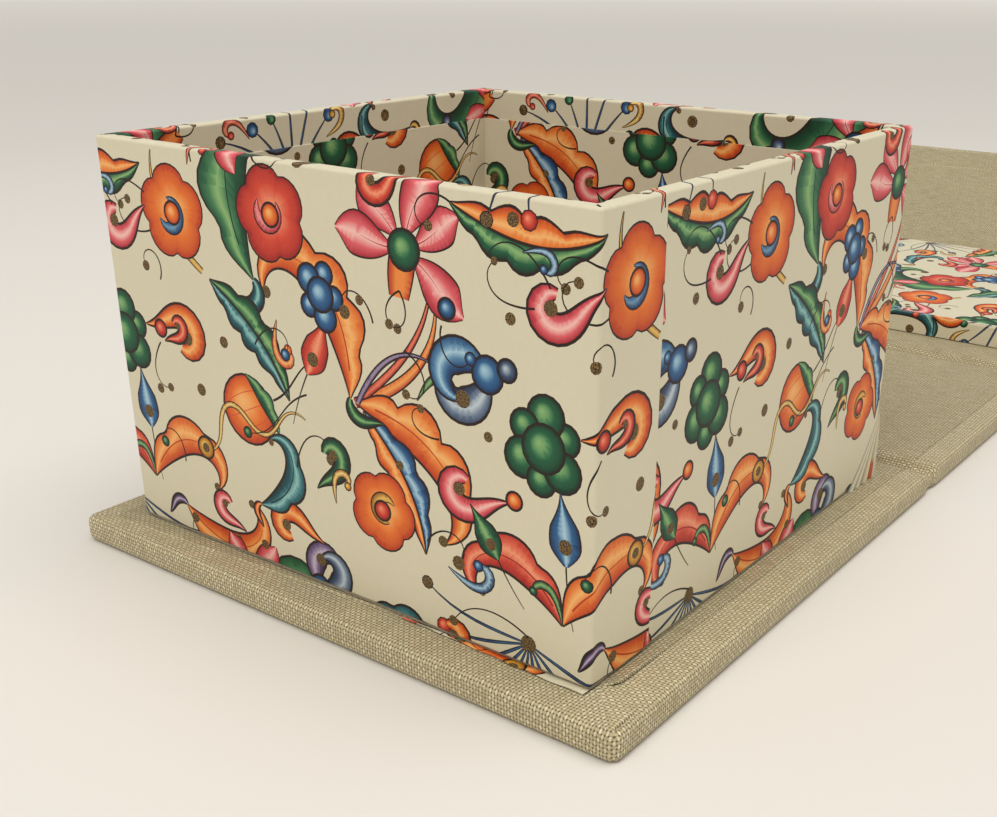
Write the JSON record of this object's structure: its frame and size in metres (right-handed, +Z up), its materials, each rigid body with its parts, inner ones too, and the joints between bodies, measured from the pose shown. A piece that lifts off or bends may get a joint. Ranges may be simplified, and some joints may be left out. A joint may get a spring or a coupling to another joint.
{
  "type": "hinged note box",
  "caption": "Square open tray covered in printed paper, glued to the base of a cloth-covered hinged case with a spine, a lid carrying a raised panel, and a front flap.",
  "frame": {"origin": "centre of the tray's footprint, on the face of the cloth that the case rests on", "axes": "+Z up, +X from the tray along the opened case over the spine and the lid to the flap, +Y towards the case's left side"},
  "size_m": [0.3868, 0.118, 0.073],
  "materials": {
    "book_cloth": "matt plain-weave book cloth",
    "printed_paper": "smooth cream paper with a coloured scroll print",
    "lining_paper": "matt khaki lining",
    "grey_board": "matt grey board"
  },
  "bodies": {
    "base": {"base_board": "grey_board", "base_cloth": "book_cloth", "base_lining": "lining_paper", "tray_floor_board": "grey_board", "tray_front_board": "grey_board", "tray_back_board": "grey_board", "tray_left_board": "grey_board", "tray_right_board": "grey_board", "tray_cover_paper": "printed_paper", "tray_wall_lining": "printed_paper", "tray_floor_lining": "printed_paper"},
    "spine": {"spine_board": "grey_board", "spine_cloth": "book_cloth", "spine_lining": "lining_paper"},
    "lid": {"lid_board": "grey_board", "lid_cloth": "book_cloth", "lid_lining": "lining_paper", "lid_panel_board": "grey_board", "lid_panel_paper": "printed_paper"},
    "flap": {"flap_board": "grey_board", "flap_cloth": "book_cloth", "flap_lining": "lining_paper"}
  },
  "joints": [
    {"name": "spine_hinge", "type": "hinge", "parent": "base", "child": "spine", "pos_m": [0.0618, 0, 0.0014], "axis": [0, -1, 0], "range_deg": [0, 90]},
    {"name": "lid_hinge", "type": "hinge", "parent": "spine", "child": "lid", "pos_m": [0.1373, 0, 0.0014], "axis": [0, -1, 0], "range_deg": [0, 90]},
    {"name": "flap_hinge", "type": "hinge", "parent": "lid", "child": "flap", "pos_m": [0.2603, 0, 0.0014], "axis": [0, -1, 0], "range_deg": [-20.5, 69.5]}
  ]
}
